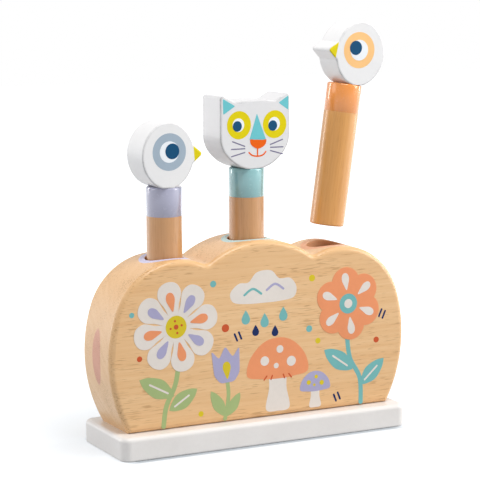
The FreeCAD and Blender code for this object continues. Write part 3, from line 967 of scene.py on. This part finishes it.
@dataclass
class Garden:
    """The print on the block's front: flowers, leaves, a mushroom and a rain cloud."""

    front: float = -22.0

    def dress(self, palette: Palette) -> None:
        """Lays the print's films.

        Args:
            palette: The inks' materials.
        """
        panel = Panel(Matrix.Translation(Vector((0, self.front * MM, 0))), "root")
        films: list[Film] = [
            *self.daisy(),
            *self.cloud(),
            *self.mushroom(),
            *self.rosette(),
            *self.tulip(),
            *self.scatter(),
        ]
        for name, ink, layer, shapes in films:
            panel.lay("print_" + name, shapes, layer, palette.ink(ink))
        LOG.info("front print laid in %d films", len(films))

    def daisy(self) -> list[Film]:
        """Draws the tall daisy on the left.

        Returns:
            Its films.
        """
        across, up = -61.0, 80.0
        stem = stroke([(-59.0, 60.0), (-61.5, 44.0), (-68.0, 30.0), (-70.0, 17.5)], 3.2)
        left_leaf = (27.0, 12.5, 5.0, 19.0, -62.5, 36.0, 62.0)
        right_leaf = (23.0, 11.0, 4.5, 16.0, -66.0, 27.0, -58.0)
        leaves, veins = veined([left_leaf, right_leaf])
        ways = [step * 45.0 + 12.0 for step in range(8)]
        petals = [moved(moved(petal(22.0, 16.2, 0.33), 0, 7.2), across, up, way) for way in ways]
        drops = [moved(moved(petal(12.0, 6.0), 0, 10.5), across, up, way) for way in ways]
        seeds = [moved(disc(0.75, 3.9, 0.0), across, up, way) for way in ways[::2]]
        return [
            ("daisy_stem", Ink.SAGE, 1, [stem]),
            ("daisy_leaves", Ink.SAGE, 2, leaves),
            ("daisy_veins", Ink.CREAM, 3, veins),
            ("daisy_petals", Ink.CREAM, 4, petals),
            ("daisy_heart", Ink.CREAM, 5, [disc(9.0, across, up)]),
            ("daisy_coral_drops", Ink.CORAL, 6, drops[::2]),
            ("daisy_lavender_drops", Ink.LAVENDER, 6, drops[1::2]),
            ("daisy_eye", Ink.YELLOW, 6, [disc(7.2, across, up)]),
            ("daisy_seeds", Ink.RUST, 7, [disc(1.6, across, up), *seeds]),
        ]

    def cloud(self) -> list[Film]:
        """Draws the rain cloud high in the middle.

        Returns:
            Its films.
        """
        left = [(-21, 92), (-23, 98), (-17, 103.5), (-10, 104)]
        puffs = [*left, (-4, 110), (6, 110.5), (12, 105), (20, 104.5)]
        base = [(24.5, 98.5), (22.5, 92), (12, 90.2), (0, 90), (-12, 90.2)]
        drop, small_drop = petal(9.0, 6.0, 0.05), petal(7.0, 4.8, 0.05)
        drops = [moved(drop, across, up, 180.0) for across, up in ((-12, 86), (1.5, 83), (15, 86))]
        small = [moved(small_drop, across, up, 180.0) for across, up in ((-5, 76), (9, 74.5))]
        return [
            ("cloud", Ink.CREAM, 1, [curve([*puffs, *base])]),
            ("cloud_curls", Ink.TEAL, 2, [stroke([(-13, 96), (-7, 99.5), (-1, 96)], 1.5)]),
            ("cloud_curl_right", Ink.LAVENDER, 2, [stroke([(3, 98), (9, 101.5), (15, 98)], 1.5)]),
            ("rain_teal", Ink.TEAL, 1, drops),
            ("rain_navy", Ink.NAVY, 1, small),
        ]

    def mushroom(self) -> list[Film]:
        """Draws the mushroom low in the middle, with a small one beside it.

        Returns:
            Their films.
        """
        dome = [(-22, 0), (-20, 11), (-11, 20.5), (0, 23.5), (11, 20.5), (20, 11), (22, 0)]
        cap = curve([*dome, (12, -2.6), (0, -3.4), (-12, -2.6)])
        stem = curve([(-5.2, 1), (-6.4, -10), (-8.5, -23), (0, -24.6), (8.5, -23), (6.4, -10), (5.2, 1)])
        spots = [disc(3.1, -9.5, 9.0), disc(2.5, 1.5, 15.8), disc(3.3, 9.8, 7.2), disc(1.8, -1.2, 5.2)]
        gills = [stroke([(across * 0.5, -1.0), (across * 0.62, -3.4)], 0.9) for across in (-16, -8, 8, 16)]
        place = (11.0, 43.0)
        other = (38.5, 30.0, 0.0, 0.5)
        return [
            ("mushroom_stem", Ink.CREAM, 1, [moved(stem, *place)]),
            ("mushroom_cap", Ink.CORAL, 2, [moved(cap, *place)]),
            ("mushroom_spots", Ink.CREAM, 3, [moved(spot, *place) for spot in spots]),
            ("mushroom_gills", Ink.RUST, 3, [moved(gill, *place) for gill in gills]),
            ("small_mushroom_stem", Ink.CREAM, 1, [moved(stem, *other)]),
            ("small_mushroom_cap", Ink.LAVENDER, 2, [moved(cap, *other)]),
            ("small_mushroom_spots", Ink.YELLOW, 3, [moved(spot, *other) for spot in spots]),
        ]

    def rosette(self) -> list[Film]:
        """Draws the round coral flower on the right.

        Returns:
            Its films.
        """
        across, up = 63.0, 84.0
        stem = stroke([(62.0, 66.0), (64.5, 48.0), (72.0, 34.0), (73.0, 17.5)], 3.2)
        ways = [step * 60.0 + 8.0 for step in range(6)]
        petals = moved(scallops(6, 14.0, 10.2), across, up, 8.0)
        drops = [moved(moved(petal(11.0, 5.4), 0, 9.5), across, up, way) for way in ways]
        left_leaf = (26.0, 12.0, 5.0, 18.0, 66.5, 40.0, 55.0)
        right_leaf = (24.0, 11.0, 4.5, 17.0, 72.5, 29.0, -48.0)
        leaves, veins = veined([left_leaf, right_leaf])
        return [
            ("rosette_stem", Ink.TEAL, 1, [stem]),
            ("rosette_leaves", Ink.TEAL, 2, leaves),
            ("rosette_veins", Ink.CREAM, 3, veins),
            ("rosette_petals", Ink.CORAL, 4, [petals]),
            ("rosette_drops", Ink.CREAM, 5, drops),
            ("rosette_eye", Ink.TEAL, 5, [disc(6.6, across, up)]),
            ("rosette_pip", Ink.CREAM, 6, [disc(3.0, across, up)]),
        ]

    def tulip(self) -> list[Film]:
        """Draws the lavender tulip between the daisy and the mushroom.

        Returns:
            Its films.
        """
        tips = [(-9, 9), (-4.4, 3.2), (0, 10.5), (4.4, 3.2), (9, 9)]
        cup = rounded([*tips, (8.2, -6), (4.5, -11), (-4.5, -11), (-8.2, -6)], 2.0)
        stem = stroke([(-25.5, 43.0), (-24.5, 32.0), (-27.0, 17.5)], 2.6)
        leaves = [moved(leaf(20.0, 8.0), -26.9, 19.0, 30.0), moved(leaf(17.0, 7.0), -25.3, 19.0, -32.0)]
        return [
            ("tulip_stem", Ink.SAGE, 1, [stem]),
            ("tulip_leaves", Ink.SAGE, 2, leaves),
            ("tulip_cup", Ink.LAVENDER, 3, [moved(cup, -26.0, 53.0, 4.0, 1.1)]),
            ("tulip_heart", Ink.YELLOW, 4, [moved(petal(11.0, 5.6), -25.3, 43.5, 4.0)]),
        ]

    def scatter(self) -> list[Film]:
        """Scatters small dots and dashes between the larger motifs.

        Returns:
            Their films.
        """
        dots = {
            Ink.RUST: [(2.6, -26.5, 76.0), (2.0, 84.5, 58.0), (1.8, -86.0, 62.0)],
            Ink.TEAL: [(2.1, -35.0, 105.0), (2.2, 34.0, 70.0), (1.7, -91.0, 90.0)],
            Ink.YELLOW: [(2.2, 36.0, 103.0), (1.9, 40.5, 61.5), (1.8, -44.0, 22.5)],
        }
        dashes = [
            ((-20.0, 71.5), (-18.2, 67.2)),
            ((-17.0, 72.5), (-15.2, 68.2)),
            ((88.5, 78.0), (86.5, 73.5)),
            ((91.2, 76.6), (89.2, 72.1)),
            ((52.5, 24.5), (54.2, 20.2)),
            ((55.5, 25.5), (57.2, 21.2)),
        ]
        films = [(f"{ink.name.lower()}_dots", ink, 1, [disc(*dot) for dot in dots[ink]]) for ink in dots]
        return [*films, ("navy_dashes", Ink.NAVY, 1, [stroke(ends, 1.3) for ends in dashes])]


@dataclass
class SpringSet:
    """One bore's spring, wound of round wire with closed ends, and its turned seat and plunger."""

    side: str
    wire: float = 1.4
    mean_radius: float = 8.5
    coils: float = 10.5
    closed_coils: float = 1.1
    closed_gap: float = 1.02
    pressed_share: float = 0.375
    steps_per_coil: int = 36
    wire_sides: int = 10

    def dress(self, steel: Material, wood: Material) -> None:
        """Winds the spring in place of its solid, and gives the seat and plunger their wood.

        Args:
            steel: The wire's material.
            wood: The turned pieces' material.
        """
        cover(wood, f"spring_seat_{self.side}", f"plunger_{self.side}")
        low, high = (Vector(corner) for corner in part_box(f"spring_{self.side}"))
        middle = (low + high) / 2 / MM
        bottom, top = low.z / MM + self.wire / 2, high.z / MM - self.wire / 2
        steps, around = int(self.coils * self.steps_per_coil), self.wire_sides
        points: list[Vector] = []
        for step in range(steps + 1):
            turns = self.coils * step / steps
            spot = self.line(turns, bottom, top)
            ahead = self.line(turns + 0.01, bottom, top) - spot
            out = Vector((spot.x, spot.y, 0)).normalized()
            other = ahead.cross(out).normalized()
            for angle in full_turn(around):
                offset = out * math.cos(angle) + other * math.sin(angle)
                point = spot + offset * self.wire / 2 + Vector((middle.x, middle.y, 0))
                points.append(point * MM)
        faces: list[Sequence[int]] = [*turned_faces(steps + 1, around)]
        faces += [list(range(around)), list(range(steps * around, (steps + 1) * around))]
        name = f"wound_spring_{self.side}"
        piece = new_piece(name, points, faces, steel, "root", smooth=True)
        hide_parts(f"spring_{self.side}")
        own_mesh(piece)
        LOG.info("spring set %s dressed", self.side)

    def line(self, turns: float, bottom: float, top: float) -> Vector:
        """Finds a point of the wire's middle line.

        Args:
            turns: How many turns lead up to it.
            bottom: The height where the line starts.
            top: The height where it ends.

        Returns:
            The point, from the spring's axis.
        """
        closed_rise = self.wire * self.closed_gap
        open_turns = self.coils - 2 * self.closed_coils
        open_rise = (top - bottom - 2 * self.closed_coils * closed_rise) / open_turns
        height = bottom
        height += min(turns, self.closed_coils) * closed_rise
        height += min(max(turns - self.closed_coils, 0), open_turns) * open_rise
        height += max(turns - self.closed_coils - open_turns, 0) * closed_rise
        return about_axis(self.mean_radius, 2 * math.pi * turns, height)


def waxed(name: str, pale: str, deep: str, pore: str) -> Wood:
    """Describes a peg's waxed wood, from its name and its three colours."""
    return Wood(name, pale, deep, pore, pores=0.2, roughness=0.34, coat=0.9, shine=0.15, relief=0.012)


def satin(name: str, tint: str, shade: str) -> Paint:
    """Describes a head's satin white paint, from its name and its two colours."""
    return Paint(name, tint, shade, roughness=0.38, coat=0.1, uneven=0.4, shine=0.2, edge=1.0)


@dataclass
class Peg:
    """A dowel with a painted band at its top and a white head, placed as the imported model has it."""

    side: str
    head: str
    where: Matrix
    band: Ink
    seed: float
    length: float = 93.0
    radius: float = 11.3
    rounding: float = 1.2
    band_height: float = 18.5
    band_film: float = 0.06
    band_lip: float = 0.12
    band_hole: float = 3.2
    face: float = 11.0
    print_rise: float = 0.0
    wood: Wood = waxed("peg_wood", "#D09D6C", "#BF8A58", "#A07145")
    white: Paint = satin("head_white", "#EBEAEA", "#DFDEE0")

    def dress(self, palette: Palette) -> None:
        """Gives the dowel its wood and its band, and the head its white paint and its print.

        Args:
            palette: The inks' materials.
        """
        along = Matrix.Rotation(math.pi / 2, 4, "Y") @ self.where.inverted()
        along = Matrix.Translation(Vector((self.seed, 0.31 * self.seed, 0))) @ along
        cover(self.wood.material(along), f"dowel_{self.side}", f"head_pin_{self.side}")
        cover(self.head_material(), self.head)
        self.wrap_band(palette.ink(self.band, gloss=True))
        top = Matrix.Translation(Vector((0, -self.face, self.length + self.print_rise)) * MM)
        panel = Panel(self.where @ top, f"peg_{self.side}")
        for name, ink, layer, shapes in self.print():
            panel.lay(f"{self.head}_{name}", shapes, layer, palette.ink(ink))
        LOG.info("peg %s dressed", self.side)

    def head_material(self) -> Material:
        """Builds the head's paint."""
        return self.white.material()

    def print(self) -> list[Film]:
        """Lists the films on the head's front: a name, an ink, a layer and the shapes."""
        return []

    def wrap_band(self, material: Material) -> None:
        """Wraps the painted band round the dowel's top and over its rounded end.

        Args:
            material: The band's paint.
        """
        film = self.band_film
        low = self.length - self.band_height
        bend = self.length - self.rounding
        outside, steps = self.radius + film, 6
        profile = [(self.radius - SUNK, low), (outside, low + self.band_lip), (outside, bend)]
        reach = self.rounding + film
        inner = self.radius - self.rounding
        for step in range(1, steps + 1):
            turn = math.pi / 2 * step / steps
            profile.append((inner + reach * math.cos(turn), bend + reach * math.sin(turn)))
        profile.append((self.band_hole, self.length + film))
        points: list[Vector] = []
        for radius, height in profile:
            points += [self.where @ (about_axis(radius, turn, height) * MM) for turn in full_turn(AROUND)]
        faces = turned_faces(len(profile), AROUND)
        name = f"band_{self.side}"
        new_piece(name, points, faces, material, f"peg_{self.side}", smooth=True)


@dataclass
class BirdPeg(Peg):
    """A peg whose head is a bird, with one large ringed eye and a yellow beak on one side."""

    ring: Ink = Ink.MIST
    beak_side: float = 1.0
    beak_start: float = 15.6
    beak_slope: float = 0.09
    beak_height: float = 21.0
    beak_blur: float = 0.12
    eye: Point = (-1.8, 22.5)
    ring_radius: float = 11.7
    white_radius: float = 6.7
    lens: Point = (0.25, 22.85)
    lens_radius: float = 4.9
    beak_edge: float = 0.55

    def head_material(self) -> Material:
        """Builds the head's white paint, with the beak's yellow on its front face only.

        Returns:
            The material.
        """
        material, graph, shader, white = self.white.begin()
        across, back, up = graph.parts(graph.place_in(self.where.inverted()))
        reach = graph.sum("MULTIPLY", across, self.beak_side)
        height = graph.sum("ADD", up, -(self.length + self.beak_height) * MM)
        line = graph.sum("ADD", reach, graph.sum("MULTIPLY", height, self.beak_slope))
        start, blur = self.beak_start * MM, self.beak_blur * MM
        past = graph.span(line, start, start + blur)
        front = -(self.face - self.beak_edge) * MM
        ahead = graph.span(back, front, front - blur)
        beak = graph.sum("MULTIPLY", past, ahead)
        graph.feed(shader.inputs["Base Color"], graph.blend(beak, white, colour(Ink.BEAK.value)))
        graph.feed(shader.inputs["Coat Weight"], graph.span(beak, 0.0, 1.0, self.white.coat, 0.0))
        return material

    def print(self) -> list[Film]:
        """Lists the eye's films.

        Returns:
            For each film its name, ink, layer and shapes.
        """
        across = self.eye[0] * self.beak_side
        lens = self.lens[0] * self.beak_side
        return [
            ("eye_ring", self.ring, 1, [disc(self.ring_radius, across, self.eye[1])]),
            ("eye_white", Ink.GLINT, 2, [disc(self.white_radius, across, self.eye[1])]),
            ("eye_lens", Ink.LENS, 3, [disc(self.lens_radius, lens, self.lens[1])]),
        ]


@dataclass
class CatPeg(Peg):
    """A peg whose head is a cat, with ringed eyes, a long nose, a smile, whiskers and inner ears."""

    ring_radius: float = 8.9
    white_radius: float = 4.3
    lens_radius: float = 3.35
    print_rise: float = -1.0
    # A darker copy of the heads' white paint: painted shade for the cat's less lit face.
    white: Paint = satin("cat_white_shaded", "#E0DFE0", "#D6D5D7")

    def print(self) -> list[Film]:
        """Lists the face's films.

        Returns:
            For each film its name, ink, layer and shapes.
        """
        nose = [(1.0, 36.0), (8.0, 18.9), (-4.7, 19.3)]
        chin = [(-4.0, 19.6), (-3.2, 16.2), (1.6, 13.6), (6.8, 15.6)]
        snout = curve([*chin, (8.0, 19.0), (5.0, 19.1), (-1.0, 19.5)])
        eyes = [
            ("rings", Ink.LEMON, self.ring_radius, ((-12.4, 29.2), (14.4, 28.5))),
            ("eye_whites", Ink.GLINT, self.white_radius, ((-12.9, 29.2), (14.0, 28.8))),
            ("eye_lenses", Ink.LENS, self.lens_radius, ((-13.7, 28.5), (12.9, 27.7))),
        ]
        smile = stroke([(-5.0, 11.5), (-2.6, 9.6), (1.4, 8.8), (5.4, 9.4), (7.7, 11.4)], 0.95)
        philtrum = stroke([(1.5, 14.2), (1.4, 9.0)], 0.95)
        left = [((-17.2, 19.0), (-8.1, 15.6)), ((-18.0, 14.2), (-8.1, 14.1)), ((-18.0, 9.6), (-8.1, 11.7))]
        right = [((11.1, 15.7), (20.4, 18.5)), ((11.3, 13.9), (20.8, 13.7)), ((11.3, 11.8), (20.4, 9.2))]
        ears = [
            rounded([(-24.3, 46.3), (-15.2, 41.3), (-24.0, 36.2)], 0.9),
            rounded([(24.9, 46.4), (17.4, 42.1), (24.9, 37.1)], 0.9),
        ]
        return [
            *(
                (name, ink, layer, [disc(radius, *spot) for spot in spots])
                for layer, (name, ink, radius, spots) in enumerate(eyes, 1)
            ),
            ("nose", Ink.AQUA, 1, [rounded(nose, 0.7)]),
            ("smile", Ink.ORANGE, 1, [smile]),
            ("philtrum", Ink.ORANGE, 2, [philtrum]),
            ("snout", Ink.ORANGE, 3, [snout]),
            ("whiskers", Ink.WHISKER, 1, [stroke(ends, 0.75) for ends in left + right]),
            ("inner_ears", Ink.AQUA, 1, ears),
        ]


@dataclass
class Studio:
    """The camera at the photograph's place, the soft lamps, the pale floor and the white beyond it."""

    azimuth: float = -27.162
    elevation: float = 8.705
    roll: float = -0.156
    distance: float = 1262.038
    shift_right: float = -4.533
    shift_up: float = 125.944
    lens: float = 144.934
    sensor: float = 36.0
    nearest: float = 50.0
    farthest: float = 60000.0
    aim_height: float = 100.0
    even_light: float = 0.39
    floor_size: float = 6000.0
    glow_reach: Point = (120.0, 420.0)
    glow: Point = (0.52, 1.0)
    # Where the painted shade under the plate's front and back edges fades out, across and along.
    shade_band_depth: Point = (37.5, 34.5)
    shade_band_length: Point = (101.0, 92.0)

    def camera(self) -> None:
        """Sets the camera up."""
        turn, lift, roll = (math.radians(angle) for angle in (self.azimuth, self.elevation, self.roll))
        back = Vector((math.sin(turn) * math.cos(lift), -math.cos(turn) * math.cos(lift), math.sin(lift)))
        right = (-back).cross(Vector((0, 0, 1))).normalized()
        up = right.cross(-back)
        across = right * math.cos(roll) + up * math.sin(roll)
        upright = up * math.cos(roll) - right * math.sin(roll)
        place = (back * self.distance + across * self.shift_right + upright * self.shift_up) * MM
        data = bpy.data.cameras.new("photo_camera")
        data.sensor_width = self.sensor
        data.lens = self.lens
        data.clip_start = self.nearest * MM
        data.clip_end = self.farthest * MM
        camera = show("photo_camera", data)
        turned = Matrix((across, upright, back)).transposed().to_4x4()
        camera.matrix_world = Matrix.Translation(place) @ turned
        bpy.context.scene.camera = camera

    def lamp(
        self, name: str, place: Sequence[float], size: Point, power: float, tint: str = "#FFFFFF"
    ) -> None:
        """Hangs a soft rectangular lamp that faces the toy.

        Args:
            name: The lamp's name.
            place: Where it hangs, in metres.
            size: Its width and height, in metres.
            power: Its power in watts.
            tint: The colour of its light, as written on screen.
        """
        data = bpy.data.lights.new(name, "AREA")
        data.shape = "RECTANGLE"
        data.size, data.size_y = size
        data.energy = power
        data.color = colour(tint)[:3]
        aim = Vector((0, 0, self.aim_height * MM)) - Vector(place)
        turned = aim.to_track_quat("-Z", "Y").to_matrix().to_4x4()
        show(name, data).matrix_world = Matrix.Translation(place) @ turned

    def lamps(self) -> None:
        """Hangs the lamps: one each side, one above, and a strip behind each side for the edges."""
        self.lamp("right_lamp", (1.5, -0.95, 0.7), (0.7, 1.2), 19.4, "#FFFDF9")
        self.lamp("left_lamp", (-1.6, 0.3, 0.75), (0.9, 1.4), 6.0, "#FFFDFB")
        self.lamp("top_lamp", (-0.05, -0.38, 1.1), (0.6, 0.25), 6.8)
        self.lamp("right_strip", (1.6, 0.05, 0.4), (0.2, 1.2), 10.0)
        self.lamp("left_strip", (-1.05, 1.3, 0.4), (0.2, 1.2), 8.5)

    def world(self) -> None:
        """Lights the toy evenly from all round, and is plain white where it is seen or mirrored."""
        world = bpy.data.worlds.new("studio")
        bpy.context.scene.world = world
        world.use_nodes = True
        graph = Graph(world.node_tree)
        strength = graph.span(graph.seen(), 0.0, 1.0, self.even_light, 1.0)
        light = graph.add("Background", {"Color": WHITE, "Strength": strength})
        graph.add("OutputWorld", {"Surface": light.outputs[0]})

    def floor(self) -> None:
        """Lays the floor, white to the camera but for the toy's shadow and a band of painted shade along
        the plate's front and back.
        """
        material = bpy.data.materials.new("pale_floor")
        material.use_nodes = True
        graph = Graph(material.node_tree)
        place = graph.place()
        tone = graph.blend(graph.noise(place, 3.0), colour("#B2B8BE"), colour("#B6BBC0"))
        lit = graph.add("BsdfDiffuse", {"Color": tone})
        away = graph.add("VectorMath", {0: place}, operation="LENGTH").outputs["Value"]
        near, far = (reach * MM for reach in self.glow_reach)
        strength = graph.sum("MULTIPLY", graph.seen(), graph.span(away, near, far, *self.glow))
        # Painted shade: the glow fades out in a band just in front of and behind the plate, so the floor
        # there shows only its lit part.
        aside = graph.add("VectorMath", {0: place}, operation="ABSOLUTE").outputs[0]
        across, back, _ = graph.parts(aside)
        under = graph.span(back, *(edge * MM for edge in self.shade_band_depth))
        along = graph.span(across, *(edge * MM for edge in self.shade_band_length))
        painted_contact_shade = graph.sum("MULTIPLY", under, along)
        strength = graph.sum("MULTIPLY", strength, graph.span(painted_contact_shade, 0.0, 1.0, 1.0, 0.0))
        glow = graph.add("Emission", {"Color": WHITE, "Strength": strength})
        both = graph.add("AddShader", {0: lit.outputs[0], 1: glow.outputs[0]})
        graph.add("OutputMaterial", {"Surface": both.outputs[0]})
        half = self.floor_size / 2 * MM
        mesh = bpy.data.meshes.new("floor")
        corners = [(-half, -half, 0), (half, -half, 0), (half, half, 0), (-half, half, 0)]
        mesh.from_pydata(corners, [], [(0, 1, 2, 3)])
        mesh.materials.append(material)
        floor = show("floor", mesh)

    def build(self) -> None:
        """Sets the whole studio up."""
        bpy.context.scene.view_settings.view_transform = "Standard"
        self.camera()
        self.lamps()
        self.world()
        self.floor()
        LOG.info("studio ready")


def peg_place(across: float, height: float, turn: float, lean: float = 0.0) -> Matrix:
    """Finds where a peg is: on its plunger and turned, or also swung out along its long arc.

    Args:
        across: The bore's place along the block.
        height: The plunger's top above the table.
        turn: The peg's turn about its own axis, in degrees.
        lean: How far it has swung over, in degrees.

    Returns:
        The peg's place, with its foot at the origin and its stem along the third axis.
    """
    pivot = Matrix.Translation(Vector(SWING_AXIS) * MM)
    swing = pivot @ Matrix.Rotation(math.radians(lean), 4, "Y") @ pivot.inverted()
    seat = Matrix.Translation(Vector((across, 0.0, height)) * MM)
    return swing @ seat @ Matrix.Rotation(math.radians(turn), 4, "Z")


def main() -> None:
    """Builds the studio and every part of the toy in order."""
    logging.basicConfig(level=logging.INFO, format="%(name)s: %(message)s")
    palette = Palette()
    Studio().build()
    BasePlate().dress()
    Block().dress(palette)
    Garden().dress(palette)
    steel = Steel("spring_wire", "#C6C5C2", "#8F8E8B", roughness=0.3, streaks=(300.0, 300.0, 900.0))
    beech = Wood("turned_beech", "#D9AC7C", "#C1905F", "#96683C", pores=0.4, roughness=0.5, coat=0.0)
    wire, turned = steel.material(), beech.material(Matrix.Rotation(math.pi / 2, 4, "Y"))
    for side in SIDES:
        SpringSet(side).dress(wire, turned)
    side_top, centre_top, popped_lean = 72.8, 81.7, 8.15
    place = peg_place(-PITCH, side_top, 3.0)
    BirdPeg("left", "bird_head_left", place, Ink.LILAC_BAND, 0.4).dress(palette)
    CatPeg("centre", "cat_head", peg_place(0.0, centre_top, 5.0), Ink.TEAL_BAND, 0.9).dress(palette)
    place = peg_place(PITCH, side_top, 2.0, popped_lean)
    amber = waxed("amber_peg_wood", "#E2A65F", "#D09048", "#B07A40")
    eye = {"eye": (-0.85, 22.45), "lens": (1.9, 23.6), "lens_radius": 4.6, "ring": Ink.PEACH}
    right = BirdPeg(
        "right", "bird_head_right", place, Ink.ORANGE_BAND, 1.7, wood=amber, beak_side=-1.0, **eye
    )
    right.dress(palette)


if __name__ == "__main__":
    main()
